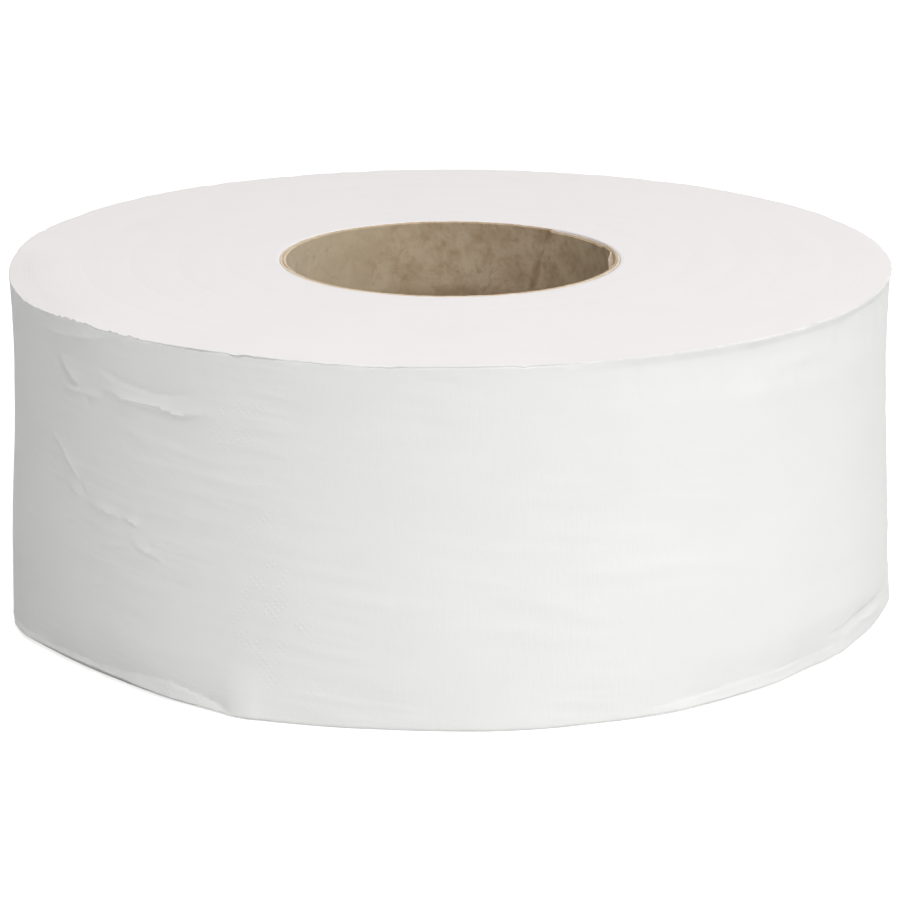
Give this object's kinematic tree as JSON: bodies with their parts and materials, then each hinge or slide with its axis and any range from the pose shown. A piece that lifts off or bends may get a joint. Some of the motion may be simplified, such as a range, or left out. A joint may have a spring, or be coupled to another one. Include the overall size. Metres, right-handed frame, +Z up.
{
  "type": "toilet paper roll",
  "caption": "Large roll of white toilet tissue wound on a kraft cardboard core, standing on its end.",
  "frame": {"origin": "on the axis of the core, at the lower end face that the roll stands on", "axes": "+Z up the axis of the core, +X to the right and -Y to the front as pictured"},
  "size_m": [0.2304, 0.2306, 0.089],
  "materials": {
    "tissue": "soft white embossed tissue",
    "core_board": "matt kraft board"
  },
  "bodies": {
    "root": {"tissue_roll": "tissue", "cardboard_core": "core_board"}
  },
  "joints": []
}
